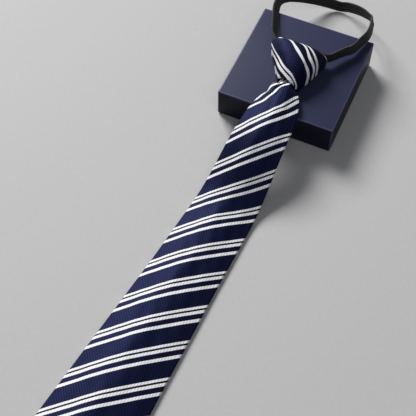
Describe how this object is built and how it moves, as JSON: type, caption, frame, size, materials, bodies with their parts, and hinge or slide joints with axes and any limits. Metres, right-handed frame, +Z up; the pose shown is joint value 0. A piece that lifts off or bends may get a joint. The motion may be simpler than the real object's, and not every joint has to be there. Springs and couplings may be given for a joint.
{
  "type": "zipper necktie on a gift box",
  "caption": "Ready-knotted striped zipper necktie lying with its knot on a plain card gift box, its neck loop open behind the knot.",
  "frame": {"origin": "centre of the gift box's underside, on the surface that the object stands on", "axes": "+Y along the tie from its point towards its knot, +Z up out of the surface, +X to the right seen from the point"},
  "size_m": [0.109, 0.567, 0.0508],
  "materials": {
    "box_card": "matt navy paper over card",
    "striped_cloth": "ribbed navy silk-like weave with white twill stripes",
    "strap_web": "black woven strap",
    "zipper_tape": "black zipper tape with nylon teeth"
  },
  "bodies": {
    "root": {"gift_box": "box_card", "blade": "striped_cloth", "knot_wrap": "striped_cloth", "knot_collar": "striped_cloth", "neck_band": "strap_web", "zipper_tail": "zipper_tape"}
  },
  "joints": []
}
